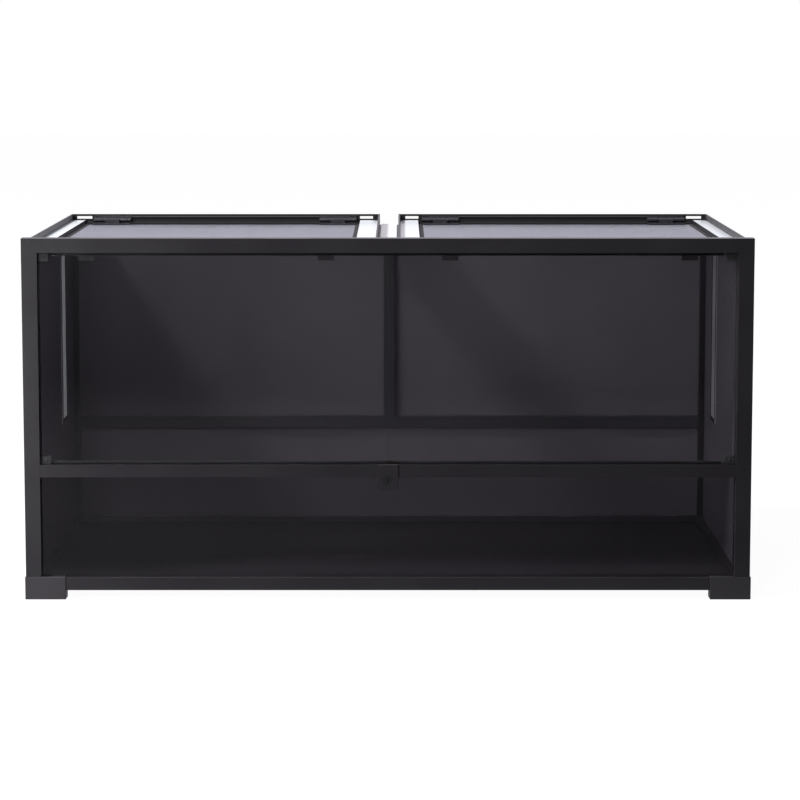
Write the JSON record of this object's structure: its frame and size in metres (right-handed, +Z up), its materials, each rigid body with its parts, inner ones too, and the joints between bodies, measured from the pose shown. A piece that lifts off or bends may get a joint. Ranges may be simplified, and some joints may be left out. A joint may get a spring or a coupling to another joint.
{
  "type": "reptile terrarium",
  "caption": "Wide front-opening reptile terrarium: black profile frame, glass swing doors with a key lock, low front pane, vented dark walls and hinged mesh lids.",
  "frame": {"origin": "on the floor under the middle of the tank, at the bottom of the feet", "axes": "+X to the right as seen from the doors, doors face -Y, +Z up"},
  "size_m": [1.203, 0.603, 0.6],
  "materials": {
    "frame": "black powder-coated aluminium profile, fine satin grain",
    "plastic": "black moulded plastic with a fine satin grain",
    "hinge": "black coated hinge leaf",
    "panel": "smooth dark wall and floor panel, semi-gloss",
    "glass": "clear float glass with polished edges",
    "mesh": "fine steel gauze, bare satin",
    "vent": "perforated metal strip, bare satin",
    "steel": "plated steel lock and hinge parts"
  },
  "bodies": {
    "tank": {"post_front_left": "frame", "post_front_right": "frame", "post_rear_left": "frame", "post_rear_right": "frame", "rail_front_top": "frame", "rail_front_middle": "frame", "rail_front_bottom": "frame", "rail_rear_top": "frame", "rail_rear_middle": "frame", "rail_rear_bottom": "frame", "rail_left_top": "frame", "rail_left_bottom": "frame", "rail_right_top": "frame", "rail_right_bottom": "frame", "top_centre_beam": "frame", "rear_centre_post": "frame", "top_corner_front_left": "plastic", "top_corner_front_right": "plastic", "top_corner_rear_left": "plastic", "top_corner_rear_right": "plastic", "foot_front_left": "plastic", "foot_front_right": "plastic", "foot_rear_left": "plastic", "foot_rear_right": "plastic", "floor_panel": "panel", "side_panel_left": "panel", "side_panel_right": "panel", "vent_grille_left": "vent", "vent_grille_right": "vent", "rear_panel_lower": "panel", "rear_panel_upper_left": "panel", "rear_panel_upper_right": "panel", "front_glass_lower": "glass", "lock_housing": "plastic", "top_frame_left": "plastic", "top_frame_right": "plastic", "top_rear_bar_left": "plastic", "top_rear_bar_right": "plastic", "top_glass_left_outer": "glass", "top_glass_left_inner": "glass", "top_glass_right_inner": "glass", "top_glass_right_outer": "glass", "hinge_bases": "hinge", "hinge_pins": "steel"},
    "door_left": {"door_glass_left": "glass", "door_clips_left": "plastic"},
    "door_right": {"door_glass_right": "glass", "door_clips_right": "plastic"},
    "lid_left": {"lid_frame_left": "frame", "lid_mesh_left": "mesh", "hinge_leaves_left": "hinge"},
    "lid_right": {"lid_frame_right": "frame", "lid_mesh_right": "mesh", "hinge_leaves_right": "hinge"},
    "latch_left_outer": {"latch_left_outer": "plastic"},
    "latch_left_inner": {"latch_left_inner": "plastic"},
    "latch_right_inner": {"latch_right_inner": "plastic"},
    "latch_right_outer": {"latch_right_outer": "plastic"},
    "lock_cylinder": {"lock_cylinder": "steel"},
    "lock_bolt": {"lock_bolt": "steel"}
  },
  "joints": [
    {"name": "door_left_swing", "type": "hinge", "parent": "tank", "child": "door_left", "pos_m": [-0.565, -0.2915, 0.4], "axis": [0, 0, -1], "range_deg": [0, 105]},
    {"name": "door_right_swing", "type": "hinge", "parent": "tank", "child": "door_right", "pos_m": [0.565, -0.2915, 0.4], "axis": [0, 0, 1], "range_deg": [0, 105]},
    {"name": "lid_left_lift", "type": "hinge", "parent": "tank", "child": "lid_left", "pos_m": [-0.3045, 0.278, 0.5903], "axis": [-1, 0, 0], "range_deg": [0, 105]},
    {"name": "lid_right_lift", "type": "hinge", "parent": "tank", "child": "lid_right", "pos_m": [0.3045, 0.278, 0.5903], "axis": [-1, 0, 0], "range_deg": [0, 105]},
    {"name": "latch_left_outer_flip", "type": "hinge", "parent": "lid_left", "child": "latch_left_outer", "pos_m": [-0.5, -0.247, 0.5805], "axis": [-1, 0, 0], "range_deg": [0, 20]},
    {"name": "latch_left_inner_flip", "type": "hinge", "parent": "lid_left", "child": "latch_left_inner", "pos_m": [-0.103, -0.247, 0.5805], "axis": [-1, 0, 0], "range_deg": [0, 20]},
    {"name": "latch_right_inner_flip", "type": "hinge", "parent": "lid_right", "child": "latch_right_inner", "pos_m": [0.103, -0.247, 0.5805], "axis": [-1, 0, 0], "range_deg": [0, 20]},
    {"name": "latch_right_outer_flip", "type": "hinge", "parent": "lid_right", "child": "latch_right_outer", "pos_m": [0.5, -0.247, 0.5805], "axis": [-1, 0, 0], "range_deg": [0, 20]},
    {"name": "key_turn", "type": "hinge", "parent": "tank", "child": "lock_cylinder", "pos_m": [0, -0.3, 0.2], "axis": [0, -1, 0], "range_deg": [0, 90]},
    {"name": "bolt_rise", "type": "slide", "parent": "tank", "child": "lock_bolt", "axis": [0, 0, 1], "range_m": [0, 0.008]}
  ],
  "couplings": [
    {"joint": "key_turn", "follows": "bolt_rise", "rad_per_m": 196.3}
  ]
}
